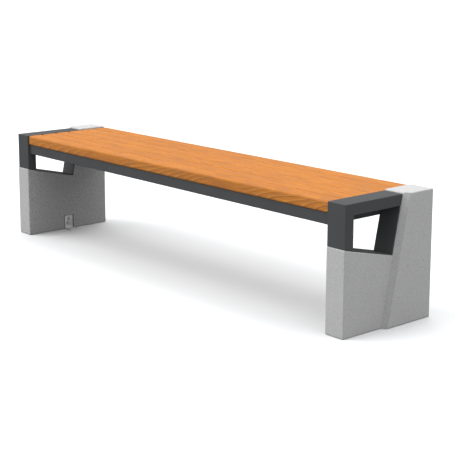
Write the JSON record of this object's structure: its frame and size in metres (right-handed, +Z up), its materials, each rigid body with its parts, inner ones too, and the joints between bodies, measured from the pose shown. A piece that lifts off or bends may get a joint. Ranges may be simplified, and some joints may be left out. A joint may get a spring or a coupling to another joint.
{
  "type": "backless bench",
  "caption": "Backless street bench: a plank seat on a dark steel frame, held between stepped concrete legs with open steel end frames.",
  "frame": {"origin": "on the floor, at the middle of the bench's footprint", "axes": "+X along the bench to the right as seen from the front, the front (the side with the end frames' uprights) at -Y, +Z up"},
  "size_m": [2.02, 0.419, 0.45],
  "materials": {
    "concrete": "matt, fine sand-grained precast concrete",
    "powder_coat": "matt anthracite powder coat",
    "timber": "oiled, planed timber",
    "galvanised": "hot-dip galvanised",
    "zinc_fasteners": "zinc plated",
    "bar_steel": "mill finish"
  },
  "bodies": {
    "root": {"concrete_leg_left": "concrete", "concrete_leg_right": "concrete", "rebar_left": "bar_steel", "rebar_right": "bar_steel", "frame_upright_left": "powder_coat", "frame_upright_right": "powder_coat", "frame_top_bar_left": "powder_coat", "frame_top_bar_right": "powder_coat", "frame_back_plate_left": "powder_coat", "frame_back_plate_right": "powder_coat", "frame_base_plate_left": "powder_coat", "frame_base_plate_right": "powder_coat", "frame_dowels_left": "bar_steel", "frame_dowels_right": "bar_steel", "dowel_sockets_left": "galvanised", "dowel_sockets_right": "galvanised", "end_crossbar_left": "powder_coat", "end_crossbar_right": "powder_coat", "crossbar_bolts_left": "zinc_fasteners", "crossbar_bolts_right": "zinc_fasteners", "crossbar_washers_left": "zinc_fasteners", "crossbar_washers_right": "zinc_fasteners", "crossbar_inserts_left": "zinc_fasteners", "crossbar_inserts_right": "zinc_fasteners", "anchor_bracket_left": "galvanised", "anchor_bracket_right": "galvanised", "anchor_bolt_left": "zinc_fasteners", "anchor_bolt_right": "zinc_fasteners", "anchor_washer_left": "zinc_fasteners", "anchor_washer_right": "zinc_fasteners", "anchor_insert_left": "zinc_fasteners", "anchor_insert_right": "zinc_fasteners", "front_rail": "powder_coat", "rear_rail": "powder_coat", "rear_rail_end_plates": "powder_coat", "plank_screws": "zinc_fasteners", "seat_batten_1": "powder_coat", "seat_batten_2": "powder_coat", "seat_batten_3": "powder_coat", "seat_batten_4": "powder_coat", "plank_1": "timber", "plank_2": "timber", "plank_3": "timber", "plank_4": "timber", "plank_5": "timber", "plank_6": "timber"}
  },
  "joints": []
}
